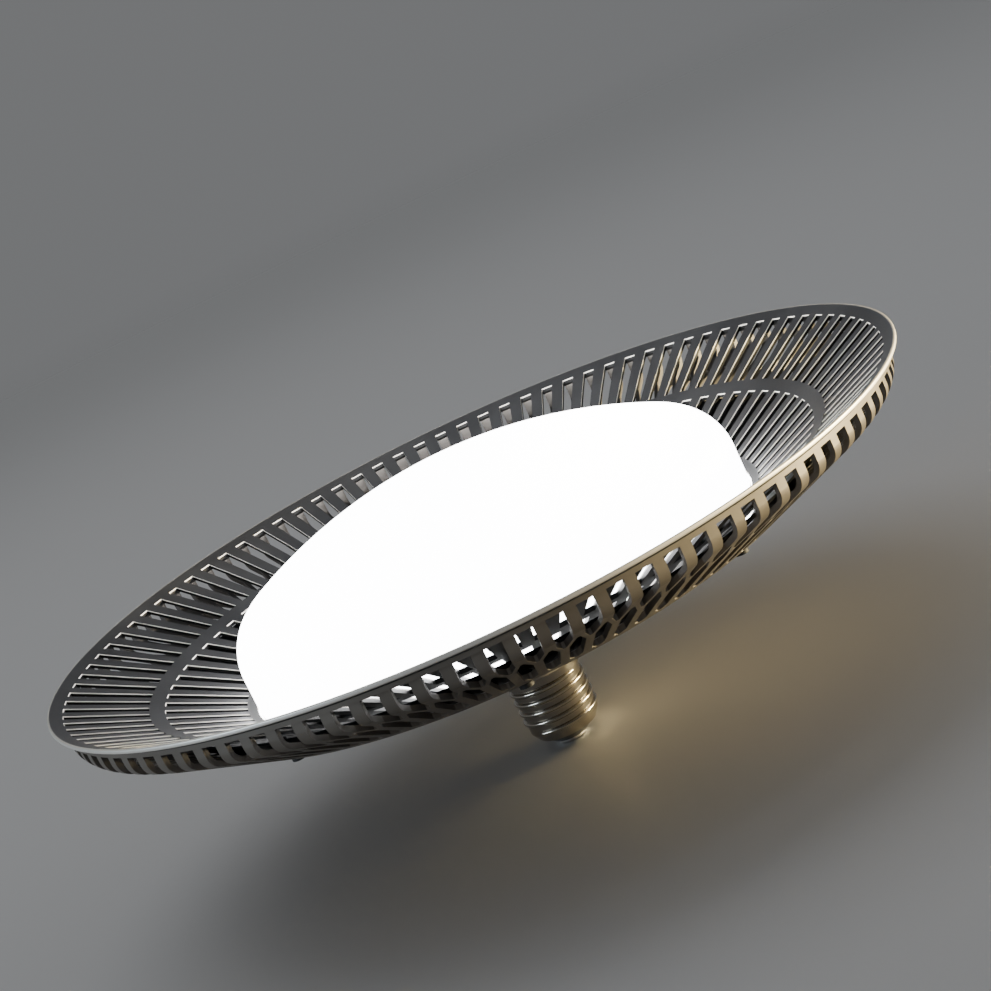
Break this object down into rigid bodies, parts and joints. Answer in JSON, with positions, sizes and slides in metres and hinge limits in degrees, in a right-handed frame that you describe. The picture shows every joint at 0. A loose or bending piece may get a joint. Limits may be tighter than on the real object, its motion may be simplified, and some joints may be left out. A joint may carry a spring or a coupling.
{
  "type": "ufo led bulb",
  "caption": "Saucer-shaped LED bulb: a wide slotted metal dish around a large opal dome, with a screw cap behind it.",
  "frame": {"origin": "tip of the screw cap's centre contact, on the lamp's axis", "axes": "+Z along the lamp's axis, from the screw cap towards the diffuser, the way the light leaves; +X through the middle of one slot of each grille ring"},
  "size_m": [0.3, 0.3, 0.1035],
  "materials": {
    "grille_paint": "satin dark grey coat",
    "shell_paint": "satin dark grey coat",
    "opal": "white opal, lit from inside",
    "seal": "matte grey",
    "bare_aluminium": "brushed",
    "pad": "matte grey",
    "white_board": "matte white coat",
    "led": "yellow phosphor in a white package",
    "screw_steel": "zinc",
    "white_plastic": "satin white",
    "collar_plastic": "matte warm grey",
    "green_board": "green lacquer",
    "fuse_body": "pale green lacquer",
    "blue_disc": "blue lacquer",
    "yellow_box": "yellow case",
    "black_package": "matte black",
    "capacitor_can": "dark sleeve",
    "ferrite": "matte dark grey ferrite",
    "winding_tape": "yellow tape over copper",
    "red_wire": "red insulation",
    "black_wire": "black insulation",
    "cap_metal": "nickel-plated, bright",
    "cap_glass": "black glass",
    "contact_metal": "tinned"
  },
  "bodies": {
    "root": {"front_grille": "grille_paint", "back_shell": "shell_paint", "grille_screws": "screw_steel", "diffuser": "opal", "diffuser_gasket": "seal", "reflector_ring": "white_plastic", "led_plate": "bare_aluminium", "thermal_pad": "pad", "led_board": "white_board", "led_chips": "led", "board_screws": "screw_steel", "plate_screws": "screw_steel", "lead_connector": "white_plastic", "driver_housing": "collar_plastic", "housing_nut": "white_plastic", "driver_board": "green_board", "fuse_resistor": "fuse_body", "varistor": "blue_disc", "film_capacitor": "yellow_box", "bridge_rectifier": "black_package", "input_capacitor": "capacitor_can", "output_capacitor": "capacitor_can", "transformer_core": "ferrite", "transformer_winding": "winding_tape", "choke": "ferrite", "driver_chip": "black_package", "live_lead": "red_wire", "neutral_lead": "black_wire", "led_positive_lead": "red_wire", "led_negative_lead": "black_wire", "cap_shell": "cap_metal", "cap_insulator": "cap_glass", "centre_contact": "contact_metal"}
  },
  "joints": []
}
